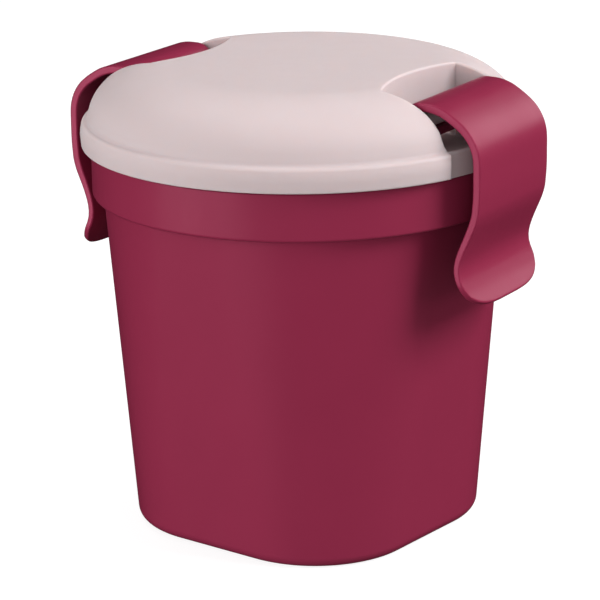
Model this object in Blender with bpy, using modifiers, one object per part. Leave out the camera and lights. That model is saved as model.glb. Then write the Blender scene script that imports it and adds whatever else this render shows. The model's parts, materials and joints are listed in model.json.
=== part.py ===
"""Two-clip lunch mug: cup, domed lid with two recesses, gasket ring and two hinged clips.

Metres, +Z up. The origin is the middle of the base, and the clips stand at +X and -X.
"""

import math

import bmesh
import bpy

OBJECT_NAME = "lunch_mug"

# Driving dimensions
LID_R = 0.0565  # radius of the lid's lower edge
LID_EDGE_Z = 0.1000  # height of the lid's lower edge above the base
WALL = 0.0019  # wall of every moulding but the clips
GAP = 0.0003  # clearance between touching pieces
OVERLAP = 0.0010  # how far joined shapes sink into each other
TURN_STEPS = 72  # facets of a turned shape

# Cup: a round rim band over a body that narrows to a rounded square
BAND_R = 0.9575 * LID_R
BAND_LOW_Z, BAND_HIGH_Z = LID_EDGE_Z - 0.0127, LID_EDGE_Z - 0.0010
BAND_ROUND = 0.0007
RIM_R = BAND_R - 0.0008
RIM_LOW_Z, RIM_TOP_Z = LID_EDGE_Z - 0.0002, LID_EDGE_Z + 0.0022
RIM_ROUND = 0.0005
LEDGE_LOW_Z, LEDGE_HIGH_Z = BAND_LOW_Z - 0.0018, BAND_LOW_Z + 0.0035  # the inside's step
BODY_TOP_HALF, BODY_TOP_CORNER = 0.847 * LID_R, 0.70 * LID_R
BASE_HALF, BASE_CORNER = 0.694 * LID_R, 0.47 * LID_R
BASE_ROUND, INNER_BASE_ROUND = 0.0030, 0.0040  # where the body meets the base, outside and inside
FOOT_WIDTH, FOOT_HEIGHT = 0.0040, 0.0008  # the ring that the cup stands on
CUP_TURN_DEG = -5.9  # the round rim lets the lid and clips sit turned from the cup's flats

# Lid
DOME_TOP_Z = LID_EDGE_Z + 0.0200
DOME_FLAT_R = 0.62 * LID_R  # the dome is level inside this radius
CREASE_R, CREASE_Z = 0.968 * LID_R, LID_EDGE_Z + 0.0065
SKIRT_BULGE, SKIRT_BULGE_Z = 0.0003, LID_EDGE_Z + 0.0030
SKIRT_TOP_ROUND = 0.0011
LID_EDGE_ROUND = 0.0005
SKIRT_INNER_R = LID_R - 0.0022
SEAT_Z = LID_EDGE_Z + 0.0045  # ceiling of the gasket channel
PLUG_OUTER_R, PLUG_INNER_R = 0.0502, 0.0486
PLUG_LOW_Z = LID_EDGE_Z - 0.0080
PLUG_LEAD = 0.0015  # height of the chamfer that leads the plug into the cup

# Recesses in the lid, one for each clip
RECESS_HALF = 0.0185
RECESS_CORNER_X = 0.595 * LID_R  # where the inner wall meets the side walls
RECESS_MIDDLE_X = 0.525 * LID_R  # the inner wall bows this far in
RECESS_FLOOR_Z = CREASE_Z
RECESS_SKIRT_R = LID_R - 0.0011  # the skirt is set in behind the clip

# Hinge: a bar moulded across each recess, with a post under its middle
HINGE_X = 0.77 * LID_R
HINGE_Z = LID_EDGE_Z + 0.0127
BAR_R = 0.0020
POST_HALF_X, POST_HALF_Y = 0.0009, 0.0008

# Clips, as offsets from the hinge axis
CLIP_HALF = 0.0177
CLIP_THICKNESS = 0.0021
TONGUE_THIN = 0.65  # share of the thickness left at the tongue's end
CURL_R = 0.0048
CURL_END_DEG = 295.0
CURL_STEPS = 12
SLOT_HALF = 0.0014
SLOT_FROM_DEG = 140.0
TONGUE_LENGTH = 0.0130
TONGUE_ROUND = 0.0075  # the tongue's sides are this much shorter than its middle
TONGUE_POWER = 3.6  # of the superellipse that its end follows
FLARE = 0.0010  # the tongue is this much wider to each side than the clip above it
FLARE_TOP_Z, FLARE_LOW_Z = -0.0270, -0.0390
BAND_LINE_Z, TONGUE_END_Z = -0.0238, -0.0450
CATCH_HALF = 0.0090

BURGUNDY = (0.235, 0.022, 0.058, 1.0)
PALE_PINK = (0.680, 0.590, 0.590, 1.0)
GASKET_GREY = (0.520, 0.500, 0.500, 1.0)


def clear_scene():
    for obj in list(bpy.data.objects):
        bpy.data.objects.remove(obj, do_unlink=True)


def new_collection(name, helper=False):
    collection = bpy.data.collections.new(name)
    bpy.context.scene.collection.children.link(collection)
    collection.hide_render = helper
    return collection


def plastic(name, colour, roughness):
    material = bpy.data.materials.new(name)
    material.use_nodes = True
    shader = material.node_tree.nodes["Principled BSDF"]
    shader.inputs["Base Color"].default_value = colour
    shader.inputs["Roughness"].default_value = roughness
    shader.inputs["Metallic"].default_value = 0.0
    return material


def mesh_object(name, mesh_data, collection, material=None):
    obj = bpy.data.objects.new(name, mesh_data)
    collection.objects.link(obj)
    if material and not mesh_data.materials:
        mesh_data.materials.append(material)
    if collection.hide_render:
        obj.hide_render = True
        obj.display_type = "WIRE"
    return obj


def finished(bm, name, smooth=True):
    """The bmesh as a mesh, with its normals facing out."""
    bmesh.ops.recalc_face_normals(bm, faces=bm.faces)
    data = bpy.data.meshes.new(name)
    bm.to_mesh(data)
    bm.free()
    if smooth:
        data.shade_smooth()
        data.set_sharp_from_angle(angle=math.radians(35))
    return data


def turned(name, profile, collection, material=None):
    """A profile of (radius, height) turned about Z; it runs down the outer side, top to bottom."""
    data = bpy.data.meshes.new(name)
    edges = [(i, i + 1) for i in range(len(profile) - 1)]
    if profile[0][0] > 0:
        edges.append((len(profile) - 1, 0))
    data.from_pydata([(r, 0.0, z) for r, z in profile], edges, [])
    obj = mesh_object(name, data, collection, material)
    screw = obj.modifiers.new("turn", "SCREW")
    screw.steps = screw.render_steps = TURN_STEPS
    screw.use_merge_vertices = True
    screw.merge_threshold = 1e-5
    screw.use_smooth_shade = True
    return obj


def prism(name, outline, low, high, collection, upright=False):
    """An outline extruded from low to high: along Z, or along Y when it is upright, in X and Z."""
    bm = bmesh.new()
    place = (lambda a, b: (a, low, b)) if upright else (lambda a, b: (a, b, low))
    face = bm.faces.new([bm.verts.new(place(a, b)) for a, b in outline])
    moved = bmesh.ops.extrude_face_region(bm, geom=[face])["geom"]
    step = (0, high - low, 0) if upright else (0, 0, high - low)
    bmesh.ops.translate(bm, verts=[v for v in moved if isinstance(v, bmesh.types.BMVert)], vec=step)
    return mesh_object(name, finished(bm, name, smooth=False), collection)


def cylinder(name, radius, depth, segments, collection, place, along_y=False):
    bm = bmesh.new()
    bmesh.ops.create_cone(
        bm, cap_ends=True, segments=segments, radius1=radius, radius2=radius, depth=depth
    )
    obj = mesh_object(name, finished(bm, name), collection)
    obj.location = place
    obj.rotation_euler = (math.pi / 2 if along_y else 0, 0, 0)
    return obj


def boolean(obj, operation, other):
    modifier = obj.modifiers.new(operation.lower() + "_" + other.name, "BOOLEAN")
    modifier.operation = operation
    modifier.object = other
    modifier.solver = "EXACT"


def rounded_square_radius(angle, half, corner):
    """Distance from the centre to the outline of a rounded square; corner = half gives a circle."""
    cos_a, sin_a = abs(math.cos(angle)), abs(math.sin(angle))
    if cos_a < sin_a:
        cos_a, sin_a = sin_a, cos_a
    inner = half - corner
    if half * sin_a <= inner * cos_a:
        return half / cos_a
    return inner * (cos_a + sin_a) + math.sqrt(
        corner**2 - inner**2 * (1 - 2 * sin_a * cos_a)
    )


def body_section(height, inset=0.0):
    """(half width, corner radius) of the cup's body at a height, less a wall or an inset."""
    share = height / BAND_LOW_Z
    half = BASE_HALF + (BODY_TOP_HALF - BASE_HALF) * share
    corner = BASE_CORNER + (BODY_TOP_CORNER - BASE_CORNER) * share
    return half - inset, corner - inset


def quarter(steps):
    """(inset share, rise share) round a quarter circle, from the flat face up to the side."""
    turns = [i * math.pi / 2 / steps for i in range(steps + 1)]
    return [(1 - math.sin(t), 1 - math.cos(t)) for t in turns]


def cup_sections():
    """(half, corner, height) of each ring: under the base, up the outside, over the rim, down inside."""
    rings = []
    foot_inset = BASE_ROUND + FOOT_WIDTH
    rings.append((*body_section(0, foot_inset + FOOT_HEIGHT), FOOT_HEIGHT))
    rings.append((*body_section(0, foot_inset), 0.0))
    for inset, rise in quarter(4):
        rings.append((*body_section(rise * BASE_ROUND, inset * BASE_ROUND), rise * BASE_ROUND))
    for share in (0.25, 0.5, 0.75):
        height = BASE_ROUND + (BAND_LOW_Z - BASE_ROUND) * share
        rings.append((*body_section(height), height))
    rings.append((*body_section(BAND_LOW_Z), BAND_LOW_Z))
    for radius, height in (
        (BAND_R - BAND_ROUND, BAND_LOW_Z),
        (BAND_R - 0.3 * BAND_ROUND, BAND_LOW_Z + 0.3 * BAND_ROUND),
        (BAND_R, BAND_LOW_Z + BAND_ROUND),
        (BAND_R, BAND_HIGH_Z),
        (RIM_R, RIM_LOW_Z),
        (RIM_R, RIM_TOP_Z - RIM_ROUND),
        (RIM_R - RIM_ROUND, RIM_TOP_Z),
        (RIM_R - WALL + RIM_ROUND, RIM_TOP_Z),
        (RIM_R - WALL, RIM_TOP_Z - RIM_ROUND),
        (RIM_R - WALL, LEDGE_HIGH_Z),
    ):
        rings.append((radius, radius, height))
    rings.append((*body_section(LEDGE_LOW_Z, WALL), LEDGE_LOW_Z))
    floor = FOOT_HEIGHT + WALL
    for share in (0.66, 0.33):
        height = floor + INNER_BASE_ROUND + (LEDGE_LOW_Z - floor - INNER_BASE_ROUND) * share
        rings.append((*body_section(height, WALL), height))
    for inset, rise in reversed(quarter(4)):
        height = floor + rise * INNER_BASE_ROUND
        rings.append((*body_section(height, WALL + inset * INNER_BASE_ROUND), height))
    return rings


def make_cup(collection, material):
    """A loft between unlike sections, from the round rim to the rounded-square base."""
    bm = bmesh.new()
    loops = []
    for half, corner, height in cup_sections():
        loop = []
        for i in range(TURN_STEPS):
            angle = 2 * math.pi * i / TURN_STEPS
            radius = rounded_square_radius(angle, half, corner)
            angle += math.radians(CUP_TURN_DEG)
            loop.append(bm.verts.new((radius * math.cos(angle), radius * math.sin(angle), height)))
        loops.append(loop)
    for low, high in zip(loops, loops[1:]):
        for i in range(TURN_STEPS):
            j = (i + 1) % TURN_STEPS
            bm.faces.new((low[i], low[j], high[j], high[i]))
    bm.faces.new(loops[0])
    bm.faces.new(loops[-1])
    return mesh_object("cup", finished(bm, "cup"), collection, material)


def dome_profile(inset, steps=9):
    """(radius, height) from the axis out to the crease: level, then an elliptical shoulder."""
    points = [(0.0, DOME_TOP_Z - inset)]
    wide, tall = CREASE_R - DOME_FLAT_R - inset, DOME_TOP_Z - CREASE_Z
    for i in range(steps + 1):
        turn = i * math.pi / 2 / steps
        points.append(
            (DOME_FLAT_R + wide * math.sin(turn), CREASE_Z - inset + tall * math.cos(turn))
        )
    return points


def lid_profile():
    """The lid's outside, its skirt, the gasket channel and the plug, over a solid middle."""
    bulge_r = LID_R + SKIRT_BULGE
    return dome_profile(0.0) + [
        (bulge_r - SKIRT_TOP_ROUND, CREASE_Z - 0.3 * SKIRT_TOP_ROUND),
        (bulge_r, CREASE_Z - 1.5 * SKIRT_TOP_ROUND),
        (bulge_r, SKIRT_BULGE_Z),
        (LID_R, LID_EDGE_Z + LID_EDGE_ROUND),
        (LID_R - LID_EDGE_ROUND, LID_EDGE_Z),
        (SKIRT_INNER_R, LID_EDGE_Z),
        (SKIRT_INNER_R, SEAT_Z),
        (PLUG_OUTER_R, SEAT_Z),
        (PLUG_OUTER_R, PLUG_LOW_Z + PLUG_LEAD),
        (PLUG_OUTER_R - PLUG_LEAD / 3, PLUG_LOW_Z),
        (0.0, PLUG_LOW_Z),
    ]


def cavity_profile():
    """The space under the lid, inside the plug."""
    below = PLUG_LOW_Z - OVERLAP
    reach = PLUG_INNER_R - OVERLAP / 2
    inside = [p for p in dome_profile(WALL) if p[0] < reach]
    (r1, z1) = inside[-1]
    (r2, z2) = next(p for p in dome_profile(WALL) if p[0] >= reach)
    meet = z1 + (z2 - z1) * (PLUG_INNER_R - r1) / (r2 - r1)
    return inside + [(PLUG_INNER_R, meet), (PLUG_INNER_R, below), (0.0, below)]


def recess_outline(side, grow):
    """The recess seen from above: an inner wall bowed towards the middle, and straight sides."""
    half = RECESS_HALF + grow
    bow = RECESS_CORNER_X - RECESS_MIDDLE_X
    steps = 10
    wall = []
    for i in range(steps + 1):
        share = 2 * i / steps - 1
        wall.append((RECESS_CORNER_X - grow - bow * (1 - share**2), half * share))
    far = LID_R * 1.25
    return [(side * x, side * y) for x, y in wall + [(far, half), (far, -half)]]


def make_lid(collection, helpers, material):
    lid = turned("lid", lid_profile(), collection, material)
    cavity = turned("lid_cavity", cavity_profile(), helpers)
    depth = 2 * (RECESS_FLOOR_Z - PLUG_LOW_Z)
    core = cylinder(
        "lid_core", RECESS_SKIRT_R, depth, TURN_STEPS, helpers, (0, 0, RECESS_FLOOR_Z - depth / 2)
    )
    above, below = DOME_TOP_Z + 5 * OVERLAP, LID_EDGE_Z - 2 * OVERLAP
    bars = []
    for side, label in ((1, "right"), (-1, "left")):
        recess = prism("recess_" + label, recess_outline(side, 0), below, above, helpers)
        boolean(recess, "DIFFERENCE", core)
        boolean(lid, "DIFFERENCE", recess)
        tub = prism(
            "tub_" + label, recess_outline(side, WALL), RECESS_FLOOR_Z - WALL, above, helpers
        )
        boolean(cavity, "DIFFERENCE", tub)
        bars.append(
            cylinder(
                "hinge_bar_" + label, BAR_R, 2 * (RECESS_HALF + OVERLAP), 20, helpers,
                (side * HINGE_X, 0, HINGE_Z), along_y=True,
            )
        )
        post = [
            (side * HINGE_X - POST_HALF_X, RECESS_FLOOR_Z - OVERLAP),
            (side * HINGE_X + POST_HALF_X, RECESS_FLOOR_Z - OVERLAP),
            (side * HINGE_X + POST_HALF_X, HINGE_Z),
            (side * HINGE_X - POST_HALF_X, HINGE_Z),
        ]
        bars.append(
            prism("bar_post_" + label, post, -POST_HALF_Y, POST_HALF_Y, helpers, upright=True)
        )
    boolean(lid, "DIFFERENCE", cavity)
    for bar in bars:
        boolean(lid, "UNION", bar)
    return lid


def make_seal_ring(collection, material):
    """The soft ring between the cup's rim and the ceiling of the lid's channel."""
    inner, outer = PLUG_OUTER_R + GAP, SKIRT_INNER_R - GAP
    low, high = RIM_TOP_Z + GAP, SEAT_Z - GAP
    edge = 0.0004
    profile = [
        (outer - edge, high),
        (outer, high - edge),
        (outer, low + edge),
        (outer - edge, low),
        (inner + edge, low),
        (inner, low + edge),
        (inner, high - edge),
        (inner + edge, high),
    ]
    return turned("seal_ring", profile, collection, material)


def smooth_path(points, steps):
    """A Catmull-Rom curve through the points."""
    padded = [points[0]] + points + [points[-1]]
    path = []
    for a, b, c, d in zip(padded, padded[1:], padded[2:], padded[3:]):
        for i in range(steps):
            t = i / steps
            path.append(
                tuple(
                    0.5 * (2 * q + (r - p) * t + (2 * p - 5 * q + 4 * r - s) * t**2
                           + (3 * q - p - 3 * r + s) * t**3)
                    for p, q, r, s in zip(a, b, c, d)
                )
            )
    return path + [points[-1]]


def clip_line():
    """The clip's outer face, side on: round the bar, over the shoulder, in at the waist, out again."""
    curl = []
    for i in range(CURL_STEPS):
        turn = math.radians(CURL_END_DEG + (90 - CURL_END_DEG) * i / CURL_STEPS)
        curl.append((CURL_R * math.cos(turn), CURL_R * math.sin(turn)))
    top = (0.0, CURL_R)
    crown = (0.0040, 0.0046)
    plate = (0.0082, 0.0031)
    shoulder = (0.0137, -0.0009)
    corner = (0.0165, -0.0060)
    side = (0.0169, -0.0127)
    rib = (0.0167, -0.0190)
    band = (0.0158, BAND_LINE_Z)
    waist = (0.0117, -0.0342)
    flare = (0.0133, -0.0403)
    tongue = (0.0163, TONGUE_END_Z)
    over = [top, crown, plate, shoulder, corner, side]
    return curl + smooth_path(over + [rib, band, waist, flare, tongue], 4)


def point_along(line, distance):
    """The point at a distance along a line of points."""
    for (x1, z1), (x2, z2) in zip(line, line[1:]):
        step = math.hypot(x2 - x1, z2 - z1)
        if distance <= step or (x2, z2) == line[-1]:
            share = distance / step
            return x1 + (x2 - x1) * share, z1 + (z2 - z1) * share
        distance -= step
    return line[-1]


def clip_columns():
    """(distance from the clip's middle, length lost at the tongue's end), close together at the sides."""
    turns = [math.radians(a) for a in (0, 18, 36, 54, 72, 90)]
    half = [(SLOT_HALF, 0.0)]
    for turn in turns[1:]:
        across = CLIP_HALF * math.sin(turn) ** (2 / TONGUE_POWER)
        half.append((across, TONGUE_ROUND * (1 - math.cos(turn))))
    return [(-y, lost) for y, lost in reversed(half)] + half


def flared(z):
    """How much wider the clip is at a height than above its waist."""
    share = min(1.0, max(0.0, (z - FLARE_TOP_Z) / (FLARE_LOW_Z - FLARE_TOP_Z)))
    return 1 + FLARE / CLIP_HALF * share**2 * (3 - 2 * share)


def make_clip_mesh(material):
    """An open sheet along the clip's line, slotted over the post, with a rounded end."""
    line = clip_line()
    steps = [math.dist(a, b) for a, b in zip(line, line[1:])]
    reached = [sum(steps[:k]) for k in range(len(line))]
    tongue = reached[-1] - TONGUE_LENGTH
    upper = [d for d in reached if d < tongue - 0.001] + [tongue]
    tongue_rows = 7
    columns = clip_columns()
    bm = bmesh.new()
    rows = []
    for k in range(len(upper) + tongue_rows):
        row = []
        for y, lost in columns:
            share = max(0, k - len(upper) + 1) / tongue_rows
            distance = upper[min(k, len(upper) - 1)] + (TONGUE_LENGTH - lost) * share
            x, z = point_along(line, distance)
            row.append(bm.verts.new((x, y * flared(z), z)))
        rows.append(row)
    middle = len(columns) // 2 - 1
    for k, (low, high) in enumerate(zip(rows, rows[1:])):
        turn = CURL_END_DEG + (90 - CURL_END_DEG) * (k + 0.5) / CURL_STEPS
        for c in range(len(columns) - 1):
            if c == middle and turn > SLOT_FROM_DEG:
                continue
            bm.faces.new((low[c], high[c], high[c + 1], low[c + 1]))
    data = bpy.data.meshes.new("clip")
    bm.to_mesh(data)
    bm.free()
    data.shade_smooth()
    data.materials.append(material)
    return data


def thin_tongue(clip):
    """A vertex group that thins the clip from its band down to the tongue's end."""
    group = clip.vertex_groups.new(name="thickness")
    for vertex in clip.data.vertices:
        share = min(1.0, max(0.0, (vertex.co.z - BAND_LINE_Z) / (TONGUE_END_Z - BAND_LINE_Z)))
        group.add([vertex.index], 1 - (1 - TONGUE_THIN) * share, "REPLACE")
    return group.name


def make_clip(name, side, data, collection, helpers):
    clip = mesh_object(name, data, collection)
    clip.location = (side * HINGE_X, 0, HINGE_Z)
    clip.rotation_euler = (0, 0, 0 if side > 0 else math.pi)
    solid = clip.modifiers.new("thickness", "SOLIDIFY")
    solid.thickness = CLIP_THICKNESS
    solid.offset = -1
    solid.use_even_offset = True
    solid.vertex_group = thin_tongue(clip)
    catch_outline = [
        (0.0141, -0.0260),
        (0.0096, -0.0260),
        (0.0093, -0.0266),
        (0.0104, -0.0289),
        (0.0126, -0.0294),
    ]
    catch = prism(name + "_catch", catch_outline, -CATCH_HALF, CATCH_HALF, helpers, upright=True)
    catch.parent = clip
    boolean(clip, "UNION", catch)
    return clip


def main():
    clear_scene()
    parts = new_collection(OBJECT_NAME)
    helpers = new_collection("cutters", helper=True)
    burgundy = plastic("burgundy_plastic", BURGUNDY, 0.34)
    pale = plastic("pale_plastic", PALE_PINK, 0.42)
    grey = plastic("gasket", GASKET_GREY, 0.6)
    make_cup(parts, burgundy)
    make_lid(parts, helpers, pale)
    make_seal_ring(parts, grey)
    clip_mesh = make_clip_mesh(burgundy)
    make_clip("clip_right", 1, clip_mesh, parts, helpers)
    make_clip("clip_left", -1, clip_mesh, parts, helpers)


main()
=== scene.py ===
"""Looks of the two-clip lunch mug: finely rounded mouldings, plastics, floor, light and camera."""
import json
import math

import bmesh
import bpy
from mathutils import Matrix, Vector


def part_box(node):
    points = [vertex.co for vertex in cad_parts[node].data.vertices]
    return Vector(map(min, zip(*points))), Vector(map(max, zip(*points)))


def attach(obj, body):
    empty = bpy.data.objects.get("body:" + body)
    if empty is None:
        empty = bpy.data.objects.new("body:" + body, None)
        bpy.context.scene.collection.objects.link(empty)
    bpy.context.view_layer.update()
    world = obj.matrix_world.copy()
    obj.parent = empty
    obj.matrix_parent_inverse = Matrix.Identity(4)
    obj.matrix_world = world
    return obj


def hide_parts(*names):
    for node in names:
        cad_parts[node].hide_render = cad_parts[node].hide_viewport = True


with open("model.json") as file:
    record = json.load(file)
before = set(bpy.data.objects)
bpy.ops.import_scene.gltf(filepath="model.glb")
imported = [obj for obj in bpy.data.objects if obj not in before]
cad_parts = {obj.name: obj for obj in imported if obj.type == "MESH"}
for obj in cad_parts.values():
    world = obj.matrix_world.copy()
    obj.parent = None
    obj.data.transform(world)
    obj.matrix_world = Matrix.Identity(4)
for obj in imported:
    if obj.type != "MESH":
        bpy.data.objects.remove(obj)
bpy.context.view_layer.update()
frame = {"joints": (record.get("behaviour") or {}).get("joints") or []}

# Driving dimensions, in metres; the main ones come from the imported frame
LID_LOW, LID_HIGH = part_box("lid")
CUP_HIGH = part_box("cup")[1]
SKIRT_BULGE = 0.0003
PLUG_DEPTH = 0.0080  # the plug reaches this far below the lid's lower edge
LID_R = LID_HIGH.y - SKIRT_BULGE
EDGE_Z = LID_LOW.z + PLUG_DEPTH
HINGE = Vector(next(j["pos_m"] for j in frame["joints"] if j["name"] == "clip_right_hinge"))
WALL = 0.0019
TURN_STEPS = 240  # facets of a turned shape

# Cup
BAND_R = 0.9575 * LID_R
BAND_LOW_Z = EDGE_Z - 0.0127
BAND_ROUND = 0.0009
BAND_FILLET = 0.0005  # where the body meets the band's underside
RIM_TOP_Z = CUP_HIGH.z
RIM_R = BAND_R - 0.0008
LEDGE_LOW_Z, LEDGE_HIGH_Z = BAND_LOW_Z - 0.0018, BAND_LOW_Z + 0.0035  # the inside's step
BODY_TOP_HALF, BODY_TOP_CORNER = 0.847 * LID_R, 0.70 * LID_R
BASE_HALF, BASE_CORNER = 0.694 * LID_R, 0.47 * LID_R
BASE_ROUND = 0.0030
INNER_BASE_ROUND = BASE_ROUND + 0.0010
FOOT_WIDTH, FOOT_HEIGHT = 0.0040, 0.0008
FOOT_EDGE = 0.0004  # roundness of the foot ring's inner edge
GATE_R, GATE_HEIGHT = 0.0016, 0.0003  # the moulding gate's mark under the base
WALL_STEPS = 12  # rings up the cup's side
QUARTER_STEPS = 9  # rings round its lower edge
CUP_TURN_DEG = -5.9

# Lid
DOME_TOP_Z = LID_HIGH.z
DOME_FLAT_R = 0.62 * LID_R
CREASE_R, CREASE_Z = 0.968 * LID_R, EDGE_Z + 0.0065
SKIRT_INNER_R = LID_R - 0.0022
SEAT_Z = EDGE_Z + 0.0045
PLUG_OUTER_R, PLUG_INNER_R = 0.0502, 0.0486
PLUG_LOW_Z = LID_LOW.z
RECESS_HALF = 0.0185
RECESS_CORNER_X, RECESS_MIDDLE_X = 0.595 * LID_R, 0.525 * LID_R
RECESS_CORNER_ROUND = 0.0005
RECESS_RIM_ROUND = 0.0006
RECESS_CORNER_TURN = 80.0  # degrees that each inner corner turns through
RECESS_SKIRT_R = LID_R - 0.0011
SKIRT_END_ROUND = 0.0009  # the skirt's ends turn into the recess with this radius
BAR_R = 0.0020
POST_HALF_X, POST_HALF_Y = 0.0009, 0.0008

# Clips, as offsets from the hinge axis
CLIP_HALF = 0.0177
CLIP_THICKNESS = 0.0021
TONGUE_THIN = 0.65
CURL_R = 0.0048
CURL_END_DEG = 295.0
CURL_STEPS = 18
SLOT_HALF = 0.0014
SLOT_FROM_DEG = 140.0
TONGUE_LENGTH = 0.0130
TONGUE_ROUND = 0.0075
TONGUE_POWER = 3.6
FLARE = 0.0010
FLARE_TOP_Z, FLARE_LOW_Z = -0.0270, -0.0390
TONGUE_CORNER_DEG = 57.0  # where the tongue's side becomes its end, round the superellipse
BAND_LINE_Z, TONGUE_END_Z = -0.0238, -0.0450
CATCH_HALF = 0.0090
CLIP_EDGE_ROUND = 0.00045


# ---------------------------------------------------------------- mesh helpers

def linked(name, data):
    obj = bpy.data.objects.new(name, data)
    bpy.context.scene.collection.objects.link(obj)
    return obj


def as_object(bm, name):
    bmesh.ops.recalc_face_normals(bm, faces=bm.faces)
    data = bpy.data.meshes.new(name)
    bm.to_mesh(data)
    bm.free()
    return linked(name, data)


def applied(obj):
    """The object with its modifiers made into its mesh."""
    depsgraph = bpy.context.evaluated_depsgraph_get()
    data = bpy.data.meshes.new_from_object(obj.evaluated_get(depsgraph))
    obj.modifiers.clear()
    obj.data = data
    return obj


def smooth(obj, angle=38):
    """Smooth shading that keeps the wide faces flat beside their rounded edges."""
    obj.data.shade_smooth()
    obj.data.set_sharp_from_angle(angle=math.radians(angle))
    weighted = obj.modifiers.new("weighted normals", "WEIGHTED_NORMAL")
    weighted.keep_sharp = True
    weighted.weight = 60
    return obj


def boolean(obj, operation, other):
    modifier = obj.modifiers.new(operation.lower(), "BOOLEAN")
    modifier.operation = operation
    modifier.object = other
    modifier.solver = "EXACT"
    applied(obj)
    bpy.data.objects.remove(other)
    return obj


def rounded(corners, steps=5):
    """A line through (x, z, radius) corners, each turned by an arc of its radius."""
    path = []
    for k, (x, z, radius) in enumerate(corners):
        corner = Vector((x, z))
        if not radius or k in (0, len(corners) - 1):
            path.append((x, z))
            continue
        before = (Vector(corners[k - 1][:2]) - corner).normalized()
        after = (Vector(corners[k + 1][:2]) - corner).normalized()
        half = before.angle(after) / 2
        centre = corner + (before + after).normalized() * (radius / math.sin(half))
        start = corner + before * (radius / math.tan(half)) - centre
        end = corner + after * (radius / math.tan(half)) - centre
        for i in range(steps + 1):
            spoke = start.slerp(end, i / steps)
            path.append(tuple(centre + spoke.normalized() * radius))
    return path


def turned(name, profile):
    """A line of (radius, height) turned about Z; points on the axis are shared by every step."""
    bm = bmesh.new()
    rings = []
    for radius, height in profile:
        if radius < 1e-6:
            rings.append([bm.verts.new((0, 0, height))] * TURN_STEPS)
            continue
        ring = []
        for i in range(TURN_STEPS):
            angle = 2 * math.pi * i / TURN_STEPS
            ring.append(bm.verts.new((radius * math.cos(angle), radius * math.sin(angle), height)))
        rings.append(ring)
    if profile[0][0] >= 1e-6:
        rings.append(rings[0])
    join_rings(bm, rings)
    return as_object(bm, name)


def join_rings(bm, rings):
    """Faces between neighbouring rings; a ring of one repeated point gives triangles."""
    for low, high in zip(rings, rings[1:]):
        count = len(low)
        for i in range(count):
            j = (i + 1) % count
            corners = []
            for vertex in (low[i], low[j], high[j], high[i]):
                if vertex not in corners:
                    corners.append(vertex)
            if len(corners) > 2:
                bm.faces.new(corners)


def prism(name, outline, half):
    """An outline in X and Z, extruded along Y from -half to half."""
    bm = bmesh.new()
    face = bm.faces.new([bm.verts.new((x, -half, z)) for x, z in outline])
    moved = bmesh.ops.extrude_face_region(bm, geom=[face])["geom"]
    corners = [v for v in moved if isinstance(v, bmesh.types.BMVert)]
    bmesh.ops.translate(bm, verts=corners, vec=(0, 2 * half, 0))
    return as_object(bm, name)


# ------------------------------------------------------------------------- cup

def rounded_square_radius(angle, half, corner):
    """Distance from the centre to the outline of a rounded square; corner = half gives a circle."""
    cos_a, sin_a = abs(math.cos(angle)), abs(math.sin(angle))
    if cos_a < sin_a:
        cos_a, sin_a = sin_a, cos_a
    inner = half - corner
    if half * sin_a <= inner * cos_a:
        return half / cos_a
    return inner * (cos_a + sin_a) + math.sqrt(
        corner**2 - inner**2 * (1 - 2 * sin_a * cos_a)
    )


def body_section(height, inset=0.0):
    """(half width, corner radius) of the cup's body at a height, less a wall or an inset."""
    share = height / BAND_LOW_Z
    half = BASE_HALF + (BODY_TOP_HALF - BASE_HALF) * share
    corner = BASE_CORNER + (BODY_TOP_CORNER - BASE_CORNER) * share
    return half - inset, corner - inset


def quarter():
    """(inset share, rise share) round a quarter circle, from the flat face up to the side."""
    turns = [i * math.pi / 2 / QUARTER_STEPS for i in range(QUARTER_STEPS + 1)]
    return [(1 - math.sin(t), 1 - math.cos(t)) for t in turns]


def underside_rings():
    """From the middle underneath out to the foot ring and round the lower edge."""
    rings = []
    for radius, height in (
        (0.0, FOOT_HEIGHT - GATE_HEIGHT),
        (GATE_R, FOOT_HEIGHT - GATE_HEIGHT),
        (GATE_R + 0.0003, FOOT_HEIGHT),
        (0.45 * BASE_HALF, FOOT_HEIGHT),
    ):
        rings.append((radius, radius, height))
    foot_inset = BASE_ROUND + FOOT_WIDTH
    for edge_share, height in (
        (2.0, FOOT_HEIGHT),
        (1.0, FOOT_HEIGHT - FOOT_EDGE / 2),
        (1 / 3, FOOT_EDGE / 4),
        (-0.5, 0.0),
    ):
        rings.append((*body_section(0, foot_inset + edge_share * FOOT_EDGE), height))
    for inset, rise in quarter():
        rings.append((*body_section(rise * BASE_ROUND, inset * BASE_ROUND), rise * BASE_ROUND))
    return rings


def side_rings():
    """Up the outside of the body, and out through the fillet under the rim band."""
    rings = []
    top = BAND_LOW_Z - BAND_FILLET
    for i in range(1, WALL_STEPS + 1):
        height = BASE_ROUND + (top - BASE_ROUND) * i / WALL_STEPS
        rings.append((*body_section(height), height))
    half, corner = body_section(BAND_LOW_Z)
    for share in (0.35, 0.75, 1.0):
        out = BAND_FILLET * share**2
        rings.append((half + out, corner + out, top + BAND_FILLET * share))
    return rings


def band_rings():
    """Round the rim band, over the rim and down its inside to the step."""
    outline = rounded(
        [
            (BAND_R - 2 * BAND_ROUND, BAND_LOW_Z, 0),
            (BAND_R, BAND_LOW_Z, BAND_ROUND),
            (BAND_R, EDGE_Z - 0.0008, 0.0005),
            (RIM_R, EDGE_Z - 0.0002, 0.0003),
            (RIM_R, RIM_TOP_Z, 0.0008),
            (RIM_R - WALL, RIM_TOP_Z, 0.0008),
            (RIM_R - WALL, LEDGE_HIGH_Z, 0),
        ]
    )
    return [(radius, radius, height) for radius, height in outline[1:]]


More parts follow.
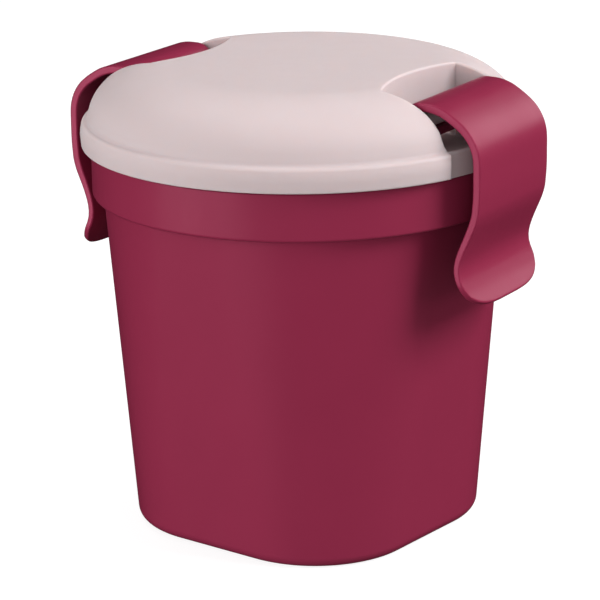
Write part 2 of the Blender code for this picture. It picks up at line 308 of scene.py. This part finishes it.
def inside_rings():
    """In over the step, down the inside of the wall, round its lower edge and over the floor."""
    rings = []
    inner_r = RIM_R - WALL
    for share in (0.25, 0.5, 0.75, 1.0):
        ease = share**2 * (3 - 2 * share)
        half, corner = body_section(LEDGE_LOW_Z, WALL)
        height = LEDGE_HIGH_Z + (LEDGE_LOW_Z - LEDGE_HIGH_Z) * share
        rings.append((inner_r + (half - inner_r) * ease, inner_r + (corner - inner_r) * ease, height))
    floor = FOOT_HEIGHT + WALL
    for i in range(1, WALL_STEPS):
        height = LEDGE_LOW_Z + (floor + INNER_BASE_ROUND - LEDGE_LOW_Z) * i / WALL_STEPS
        rings.append((*body_section(height, WALL), height))
    for inset, rise in reversed(quarter()):
        height = floor + rise * INNER_BASE_ROUND
        rings.append((*body_section(height, WALL + inset * INNER_BASE_ROUND), height))
    rings.append((0.4 * BASE_HALF, 0.4 * BASE_HALF, floor))
    rings.append((0.0, 0.0, floor))
    return rings


def cup_sections():
    """(half, corner, height) of each ring: from the middle underneath, round the cup, to the inside."""
    return underside_rings() + side_rings() + band_rings() + inside_rings()


def make_cup():
    bm = bmesh.new()
    turn = math.radians(CUP_TURN_DEG)
    loops = []
    for half, corner, height in cup_sections():
        if half == 0:
            loops.append([bm.verts.new((0, 0, height))] * TURN_STEPS)
            continue
        loop = []
        for i in range(TURN_STEPS):
            angle = 2 * math.pi * i / TURN_STEPS
            radius = rounded_square_radius(angle, half, corner)
            angle += turn
            loop.append(bm.verts.new((radius * math.cos(angle), radius * math.sin(angle), height)))
        loops.append(loop)
    join_rings(bm, loops)
    return smooth(as_object(bm, "cup_moulding"))


# ------------------------------------------------------------------------- lid

def dome_height(radius, inset=0.0):
    """Height of the dome's skin at a radius: level, then an elliptical shoulder."""
    wide, tall = CREASE_R - DOME_FLAT_R - inset, DOME_TOP_Z - CREASE_Z
    out = min(1.0, max(0.0, (radius - DOME_FLAT_R) / wide))
    return CREASE_Z - inset + tall * math.sqrt(1 - out**2)


def dome_profile(inset, steps=30):
    """(radius, height) from the axis out to the crease."""
    wide, tall = CREASE_R - DOME_FLAT_R - inset, DOME_TOP_Z - CREASE_Z
    points = [(0.0, DOME_TOP_Z - inset), (0.5 * DOME_FLAT_R, DOME_TOP_Z - inset)]
    for i in range(steps + 1):
        turn = i * math.pi / 2 / steps
        points.append(
            (DOME_FLAT_R + wide * math.sin(turn), CREASE_Z - inset + tall * math.cos(turn))
        )
    return points


def lid_profile():
    """The lid's outside, its skirt, the gasket channel and the plug, over a solid middle."""
    bulge_r = LID_R + SKIRT_BULGE
    skirt = rounded(
        [
            (CREASE_R, CREASE_Z + 0.0014, 0),
            (CREASE_R + 0.0002, CREASE_Z, 0.0010),
            (LID_R - 0.0002, CREASE_Z - 0.0004, 0.0013),
            (bulge_r, EDGE_Z + 0.0035, 0.0080),
            (LID_R, EDGE_Z, 0.0005),
            (SKIRT_INNER_R, EDGE_Z, 0.0004),
            (SKIRT_INNER_R, SEAT_Z, 0.0003),
            (PLUG_OUTER_R, SEAT_Z, 0.0003),
            (PLUG_OUTER_R, PLUG_LOW_Z, 0.0005),
            (PLUG_INNER_R - 0.0012, PLUG_LOW_Z, 0),
        ]
    )
    dome = [p for p in dome_profile(0.0) if p[1] > CREASE_Z + 0.0016]
    return dome + skirt + [(0.0, PLUG_LOW_Z)]


def cavity_profile():
    """The space under the lid, inside the plug."""
    below = PLUG_LOW_Z - 0.0010
    inside = [p for p in dome_profile(WALL) if p[0] < PLUG_INNER_R - 0.0005]
    meet = dome_height(PLUG_INNER_R, WALL)
    return inside + [(PLUG_INNER_R, meet), (PLUG_INNER_R, below), (0.0, below)]


def recess_wall():
    """(x, y, normal x, normal y) along the recess wall, from its skirt end at -Y round to +Y."""
    skirt_r = LID_R + SKIRT_BULGE
    middle_y = RECESS_HALF + SKIRT_END_ROUND
    middle_x = math.sqrt((skirt_r - SKIRT_END_ROUND) ** 2 - middle_y**2)
    tangent = math.atan2(middle_y, middle_x)
    half = []  # the +Y half, from the skirt inwards
    leave = (skirt_r * 1.2 * math.cos(tangent), skirt_r * 1.2 * math.sin(tangent))
    half.append((*leave, -math.sin(tangent), math.cos(tangent)))

    end_steps = 6
    for i in range(end_steps + 1):
        turn = tangent + (-math.pi / 2 - tangent) * i / end_steps
        spoke = (math.cos(turn), math.sin(turn))
        half.append((middle_x + SKIRT_END_ROUND * spoke[0], middle_y + SKIRT_END_ROUND * spoke[1],
                     -spoke[0], -spoke[1]))

    corner_x = RECESS_CORNER_X + RECESS_CORNER_ROUND
    corner_y = RECESS_HALF - RECESS_CORNER_ROUND
    straight_steps = 14
    for i in range(1, straight_steps):
        x = middle_x + (corner_x - middle_x) * i / straight_steps
        half.append((x, RECESS_HALF, 0.0, 1.0))

    corner_steps = 5
    for i in range(corner_steps + 1):
        turn = math.radians(90 + RECESS_CORNER_TURN * i / corner_steps)
        spoke = (math.cos(turn), math.sin(turn))
        half.append((corner_x + RECESS_CORNER_ROUND * spoke[0],
                     corner_y + RECESS_CORNER_ROUND * spoke[1], *spoke))

    bow = RECESS_CORNER_X - RECESS_MIDDLE_X
    bow_steps = 14
    edge = (RECESS_HALF - 1.2 * RECESS_CORNER_ROUND) / RECESS_HALF
    for i in range(bow_steps):
        share = edge * (1 - (i + 0.6) / bow_steps)
        slope = 2 * bow * share / RECESS_HALF
        length = math.hypot(1, slope)
        half.append((RECESS_CORNER_X - bow * (1 - share**2), RECESS_HALF * share,
                     -1 / length, slope / length))
    other = [(x, -y, nx, -ny) for x, y, nx, ny in half]
    return other + half[::-1]


def recess_cutter(side, grow=0.0, floor=EDGE_Z - 0.002):
    """The recess's space, open above the dome: with a rounded rim, or grown by a wall and without one."""
    rim, rim_steps = RECESS_RIM_ROUND, 5
    turns = [0.0] if grow else [i * math.pi / 2 / rim_steps for i in range(rim_steps + 1)]
    wall = recess_wall()
    skin = [dome_height(math.hypot(x + nx * rim, y + ny * rim)) for x, y, nx, ny in wall]
    levels = [(grow, [floor] * len(wall))]
    for turn in turns:
        out = grow or rim * (1 - math.cos(turn))
        levels.append((out, [top - rim + rim * math.sin(turn) for top in skin]))
    levels.append((grow or rim, [DOME_TOP_Z + 0.004] * len(wall)))
    bm = bmesh.new()
    loops = []
    for out, heights in levels:
        loop = []
        for (x, y, nx, ny), height in zip(wall, heights):
            loop.append(bm.verts.new((side * (x + nx * out), side * (y + ny * out), height)))
        loops.append(loop)
    join_rings(bm, loops)
    bm.faces.new(loops[0])
    bm.faces.new(loops[-1])
    return as_object(bm, "recess_cutter")


def make_lid():
    lid = turned("lid_moulding", lid_profile())
    cavity = turned("lid_cavity", cavity_profile())
    core_round, core_low_z = 0.0006, EDGE_Z - 0.010
    for side in (1, -1):
        cutter = recess_cutter(side)
        core = turned(
            "recess_core",
            rounded(
                [
                    (0.0, CREASE_Z, 0),
                    (RECESS_SKIRT_R, CREASE_Z, core_round),
                    (RECESS_SKIRT_R, core_low_z, 0),
                    (0.0, core_low_z, 0),
                ]
            ),
        )
        boolean(cutter, "DIFFERENCE", core)
        boolean(lid, "DIFFERENCE", cutter)
        boolean(cavity, "DIFFERENCE", recess_cutter(side, grow=WALL, floor=CREASE_Z - WALL))
    boolean(lid, "DIFFERENCE", cavity)
    for side in (1, -1):
        boolean(lid, "UNION", hinge_bar(side * HINGE.x))
        x, foot = side * HINGE.x, CREASE_Z - 0.0010
        post = [(x - POST_HALF_X, foot), (x + POST_HALF_X, foot),
                (x + POST_HALF_X, HINGE.z), (x - POST_HALF_X, HINGE.z)]
        boolean(lid, "UNION", prism("bar_post", post, POST_HALF_Y))
    return smooth(lid, 32)


def hinge_bar(x):
    """The hinge bar across a recess, its ends sunk into the side walls."""
    bm = bmesh.new()
    bmesh.ops.create_cone(
        bm, cap_ends=True, segments=48, radius1=BAR_R, radius2=BAR_R,
        depth=2 * (RECESS_HALF + 0.0010),
    )
    bar = as_object(bm, "hinge_bar")
    bar.data.transform(Matrix.Translation((x, 0, HINGE.z)) @ Matrix.Rotation(math.pi / 2, 4, "X"))
    return bar


# ---------------------------------------------------------------------- gasket

def make_gasket():
    """A soft ring with a shallow groove round each flat face."""
    low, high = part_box("seal_ring")
    outer, inner = high.y, PLUG_OUTER_R + 0.0003
    middle, groove = (outer + inner) / 2, 0.0005
    profile = rounded(
        [
            (middle, high.z - 0.0003, 0),
            (middle + groove, high.z, 0.0002),
            (outer, high.z, 0.0004),
            (outer, low.z, 0.0004),
            (middle + groove, low.z, 0.0002),
            (middle, low.z + 0.0003, 0.0002),
            (middle - groove, low.z, 0.0002),
            (inner, low.z, 0.0004),
            (inner, high.z, 0.0004),
            (middle - groove, high.z, 0.0002),
        ],
        steps=4,
    )
    return smooth(turned("gasket", profile), 50)


# ----------------------------------------------------------------------- clips

def smooth_path(points, steps):
    """A Catmull-Rom curve through the points."""
    padded = [points[0]] + points + [points[-1]]
    path = []
    for a, b, c, d in zip(padded, padded[1:], padded[2:], padded[3:]):
        for i in range(steps):
            t = i / steps
            path.append(
                tuple(
                    0.5 * (2 * q + (r - p) * t + (2 * p - 5 * q + 4 * r - s) * t**2
                           + (3 * q - p - 3 * r + s) * t**3)
                    for p, q, r, s in zip(a, b, c, d)
                )
            )
    return path + [points[-1]]


def clip_line():
    """The clip's outer face, side on: round the bar, over the shoulder, in at the waist, out again."""
    curl = []
    for i in range(CURL_STEPS):
        turn = math.radians(CURL_END_DEG + (90 - CURL_END_DEG) * i / CURL_STEPS)
        curl.append((CURL_R * math.cos(turn), CURL_R * math.sin(turn)))
    top = (0.0, CURL_R)
    crown = (0.0040, 0.0046)
    plate = (0.0082, 0.0031)
    shoulder = (0.0137, -0.0009)
    corner = (0.0165, -0.0060)
    side = (0.0169, -0.0127)
    rib = (0.0167, -0.0190)
    band = (0.0158, BAND_LINE_Z)
    waist = (0.0117, -0.0342)
    flare = (0.0133, -0.0403)
    tongue = (0.0163, TONGUE_END_Z)
    over = [top, crown, plate, shoulder, corner, side]
    return curl + smooth_path(over + [rib, band, waist, flare, tongue], 8)


def point_along(line, distance):
    for (x1, z1), (x2, z2) in zip(line, line[1:]):
        step = math.hypot(x2 - x1, z2 - z1)
        if distance <= step or (x2, z2) == line[-1]:
            share = distance / step
            return x1 + (x2 - x1) * share, z1 + (z2 - z1) * share
        distance -= step
    return line[-1]


def tongue_edge(degrees):
    """(y, distance past the tongue's root) on the superellipse round the tongue's end."""
    turn = math.radians(abs(degrees))
    y = math.copysign(CLIP_HALF * math.sin(turn) ** (2 / TONGUE_POWER), degrees)
    return y, TONGUE_LENGTH - TONGUE_ROUND * (1 - math.cos(turn))


def tongue_patch(across, down):
    """(y, distance) in the tongue, a patch between its root, its sides and its rounded end."""
    straight = 1 - TONGUE_ROUND / TONGUE_LENGTH
    turn = TONGUE_CORNER_DEG

    def side(sign):
        if down < straight:
            return sign * CLIP_HALF, TONGUE_LENGTH * down
        share = (down - straight) / (1 - straight)
        return tongue_edge(sign * (90 + (turn - 90) * share))

    left, right = side(-1), side(1)
    root = (CLIP_HALF * across, 0.0)
    end = tongue_edge(turn * across) if across else (0.0, TONGUE_LENGTH)
    corner_l, corner_r = tongue_edge(-turn), tongue_edge(turn)
    u = (across + 1) / 2
    point = []
    for axis, root_l, root_r in ((0, -CLIP_HALF, CLIP_HALF), (1, 0.0, 0.0)):
        ruled = (1 - down) * root[axis] + down * end[axis] + (1 - u) * left[axis] + u * right[axis]
        twice = ((1 - down) * ((1 - u) * root_l + u * root_r)
                 + down * ((1 - u) * corner_l[axis] + u * corner_r[axis]))
        point.append(ruled - twice)
    return point


def flared(z):
    """How much wider the clip is at a height than above its waist."""
    share = min(1.0, max(0.0, (z - FLARE_TOP_Z) / (FLARE_LOW_Z - FLARE_TOP_Z)))
    return 1 + FLARE / CLIP_HALF * share**2 * (3 - 2 * share)


def clip_sheet():
    """The clip's outer face as an open sheet, slotted over the bar's post."""
    line = clip_line()
    steps = [math.dist(a, b) for a, b in zip(line, line[1:])]
    reached = [sum(steps[:k]) for k in range(len(line))]
    tongue = reached[-1] - TONGUE_LENGTH
    upper = [d for d in reached if d < tongue - 0.0006] + [tongue]
    half_columns = 9
    shares = [SLOT_HALF / CLIP_HALF + (1 - SLOT_HALF / CLIP_HALF) * i / half_columns
              for i in range(half_columns + 1)]
    columns = [-s for s in reversed(shares)] + shares
    tongue_rows = 9
    bm = bmesh.new()
    rows = [[(CLIP_HALF * s, distance) for s in columns] for distance in upper]
    for k in range(1, tongue_rows + 1):
        patch = [tongue_patch(s, k / tongue_rows) for s in columns]
        rows.append([(y, tongue + beyond) for y, beyond in patch])
    verts = []
    for row in rows:
        points = [(y, point_along(line, distance)) for y, distance in row]
        verts.append([bm.verts.new((x, y * flared(z), z)) for y, (x, z) in points])
    middle = len(columns) // 2 - 1
    for k, (low, high) in enumerate(zip(verts, verts[1:])):
        turn = CURL_END_DEG + (90 - CURL_END_DEG) * (k + 0.5) / CURL_STEPS
        for c in range(len(columns) - 1):
            if c != middle or turn <= SLOT_FROM_DEG:
                bm.faces.new((low[c], high[c], high[c + 1], low[c + 1]))
    data = bpy.data.meshes.new("clip")
    bm.to_mesh(data)
    bm.free()
    return data


def make_clip(name, side):
    clip = linked(name, clip_sheet())
    group = clip.vertex_groups.new(name="thickness")
    for vertex in clip.data.vertices:
        share = min(1.0, max(0.0, (vertex.co.z - BAND_LINE_Z) / (TONGUE_END_Z - BAND_LINE_Z)))
        group.add([vertex.index], 1 - (1 - TONGUE_THIN) * share, "REPLACE")
    solid = clip.modifiers.new("thickness", "SOLIDIFY")
    solid.thickness = CLIP_THICKNESS
    solid.offset = -1
    solid.use_even_offset = True
    solid.vertex_group = group.name
    bevel = clip.modifiers.new("edges", "BEVEL")
    bevel.width = CLIP_EDGE_ROUND
    bevel.segments = 3
    bevel.limit_method = "ANGLE"
    bevel.angle_limit = math.radians(50)
    bevel.use_clamp_overlap = False
    applied(clip)
    catch_outline = rounded(
        [
            (0.0141, -0.0260, 0),
            (0.0094, -0.0259, 0.0004),
            (0.0100, -0.0288, 0.0008),
            (0.0126, -0.0294, 0),
        ]
    )
    boolean(clip, "UNION", prism("catch", catch_outline, CATCH_HALF))
    turn = Matrix.Rotation(0 if side > 0 else math.pi, 4, "Z")
    clip.data.transform(turn @ Matrix.Translation((HINGE.x, 0, HINGE.z)))
    return smooth(clip, 32)


# ------------------------------------------------------------------- materials

def node(tree, kind, **values):
    made = tree.nodes.new(kind)
    for name, value in values.items():
        if name in made.inputs:
            made.inputs[name].default_value = value
        else:
            setattr(made, name, value)
    return made


def moulded_plastic(name, colour, rough, grain, variation, fixed):
    """Moulded plastic: a fine grain, soft unevenness in the gloss, and faint clouds in the colour."""
    material = bpy.data.materials.new(name)
    material.use_nodes = True
    tree = material.node_tree
    shader = tree.nodes["Principled BSDF"]
    for socket, value in fixed.items():
        shader.inputs[socket].default_value = value
    place = node(tree, "ShaderNodeTexCoord")

    clouds = node(tree, "ShaderNodeTexNoise", Scale=38.0, Detail=3.0, Roughness=0.55)
    tree.links.new(place.outputs["Object"], clouds.inputs["Vector"])
    tint = node(tree, "ShaderNodeValToRGB")
    for stop, share in zip(tint.color_ramp.elements, (1 - variation, 1 + variation)):
        stop.color = (*[min(1.0, c * share) for c in colour], 1.0)
    tint.color_ramp.elements[0].position = 0.3
    tint.color_ramp.elements[1].position = 0.7
    tree.links.new(clouds.outputs["Fac"], tint.inputs["Fac"])
    tree.links.new(tint.outputs["Color"], shader.inputs["Base Color"])

    flow = node(tree, "ShaderNodeMapping")
    flow.inputs["Scale"].default_value = (1.0, 1.0, 0.25)
    tree.links.new(place.outputs["Object"], flow.inputs["Vector"])
    streaks = node(tree, "ShaderNodeTexNoise", Scale=170.0, Detail=4.0, Roughness=0.6)
    tree.links.new(flow.outputs["Vector"], streaks.inputs["Vector"])
    gloss = node(tree, "ShaderNodeMapRange")
    gloss.inputs["From Min"].default_value = 0.3
    gloss.inputs["From Max"].default_value = 0.7
    gloss.inputs["To Min"].default_value = rough - 0.035
    gloss.inputs["To Max"].default_value = rough + 0.035
    tree.links.new(streaks.outputs["Fac"], gloss.inputs["Value"])
    tree.links.new(gloss.outputs["Result"], shader.inputs["Roughness"])

    fine = node(tree, "ShaderNodeTexNoise", Scale=2600.0, Detail=2.0, Roughness=0.5)
    tree.links.new(place.outputs["Object"], fine.inputs["Vector"])
    bump = node(tree, "ShaderNodeBump", Strength=grain, Distance=0.00004)
    tree.links.new(fine.outputs["Fac"], bump.inputs["Height"])
    tree.links.new(bump.outputs["Normal"], shader.inputs["Normal"])
    return material


def make_materials():
    glossy = {"Specular IOR Level": 0.16, "Specular Tint": (1.0, 0.62, 0.74, 1.0)}
    return {
        "cup_plastic": moulded_plastic("burgundy", (0.232, 0.0205, 0.054), 0.36, 0.10, 0.02, glossy),
        "clip_plastic": moulded_plastic(
            "burgundy_clip", (0.232, 0.0195, 0.053), 0.34, 0.08, 0.02,
            {"Specular IOR Level": 0.50, "Specular Tint": (1.0, 0.30, 0.46, 1.0)},
        ),
        "lid_plastic": moulded_plastic(
            "pale_pink", (0.550, 0.459, 0.464), 0.52, 0.22, 0.012,
            {"Specular IOR Level": 0.16, "Subsurface Weight": 0.45, "Subsurface Scale": 0.0040,
             "Subsurface Radius": (1.0, 0.7, 0.6)},
        ),
        "seal_rubber": moulded_plastic(
            "gasket_rubber", (0.560, 0.530, 0.520), 0.55, 0.30, 0.02,
            {"Specular IOR Level": 0.4, "Subsurface Weight": 0.2, "Subsurface Scale": 0.002},
        ),
    }


# ---------------------------------------------------- floor, light and camera

def make_floor():
    """A pale floor that glows a little, as a lit studio sweep does, so that shadows on it stay faint."""
    bm = bmesh.new()
    bmesh.ops.create_grid(bm, x_segments=8, y_segments=8, size=6.0)
    floor = as_object(bm, "floor")
    material = bpy.data.materials.new("pale_floor")
    material.use_nodes = True
    shader = material.node_tree.nodes["Principled BSDF"]
    shader.inputs["Base Color"].default_value = (0.25, 0.25, 0.25, 1.0)
    shader.inputs["Roughness"].default_value = 0.9
    shader.inputs["Specular IOR Level"].default_value = 0.0
    shader.inputs["Emission Color"].default_value = (1.0, 1.0, 1.0, 1.0)
    shader.inputs["Emission Strength"].default_value = 0.86
    floor.data.materials.append(material)
    floor.visible_glossy = False
    floor.visible_diffuse = False


def area_light(name, direction, distance, size, power, glossy=True):
    """A softbox that looks at the mug's middle from a direction."""
    data = bpy.data.lights.new(name, "AREA")
    data.shape = "SQUARE"
    data.size = size
    data.energy = power
    lamp = linked(name, data)
    towards = Vector(direction).normalized()
    lamp.location = Vector((0, 0, 0.6 * EDGE_Z)) + towards * distance
    lamp.rotation_euler = (-towards).to_track_quat("-Z", "Y").to_euler()
    lamp.visible_glossy = glossy


def make_light():
    world = bpy.data.worlds.new("studio")
    bpy.context.scene.world = world
    world.use_nodes = True
    world.node_tree.nodes["Background"].inputs["Color"].default_value = (1.0, 1.0, 1.0, 1.0)
    world.node_tree.nodes["Background"].inputs["Strength"].default_value = 0.34
    world.cycles_visibility.glossy = False
    area_light("key", (0.75, 0.24, 0.58), 1.0, 0.5, 9.8)
    area_light("fill", (-0.40, -0.91, 0.06), 1.2, 1.1, 16.2)
    area_light("camera_side", (0.40, -0.88, 0.10), 1.4, 0.8, 4.5, glossy=False)
    area_light("back", (0.36, 0.80, 0.42), 1.0, 0.55, 1.9)
    area_light("top", (-0.35, 0.05, 1.0), 1.0, 0.4, 2.2)
    area_light("low_right", (0.93, 0.25, 0.03), 1.2, 0.4, 1.6, glossy=False)


def make_camera():
    """A long lens from the right of the front, a little above the lid."""
    azimuth, elevation, roll = math.radians(31.75), math.radians(16.69), -0.012
    distance, target = 13.4 * LID_R, Vector((0, 0, EDGE_Z - 0.75 * LID_R))
    back = Vector((math.sin(azimuth) * math.cos(elevation),
                   -math.cos(azimuth) * math.cos(elevation), math.sin(elevation)))
    right = Vector((math.cos(azimuth), math.sin(azimuth), 0))
    up = back.cross(right)
    rolled_right = right * math.cos(roll) + up * math.sin(roll)
    rolled_up = up * math.cos(roll) - right * math.sin(roll)
    data = bpy.data.cameras.new("camera")
    data.sensor_width = 36.0
    data.lens = 175.6
    data.shift_x, data.shift_y = -0.00967, -0.00333
    camera = linked("camera", data)
    place = Matrix((rolled_right, rolled_up, back)).transposed().to_4x4()
    place.translation = target + back * distance
    camera.matrix_world = place
    bpy.context.scene.camera = camera


# ------------------------------------------------------------------- the scene

materials = make_materials()
for piece, cad_node, body, slot in (
    (make_cup(), "cup", "cup_body", "cup_plastic"),
    (make_lid(), "lid", "lid_body", "lid_plastic"),
    (make_gasket(), "seal_ring", "lid_body", "seal_rubber"),
    (make_clip("clip_right_moulding", 1), "clip_right", "clip_right_body", "clip_plastic"),
    (make_clip("clip_left_moulding", -1), "clip_left", "clip_left_body", "clip_plastic"),
):
    piece.data.materials.clear()
    piece.data.materials.append(materials[slot])
    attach(piece, body)
    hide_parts(cad_node)

make_floor()
make_light()
make_camera()
bpy.context.scene.view_settings.view_transform = "Standard"
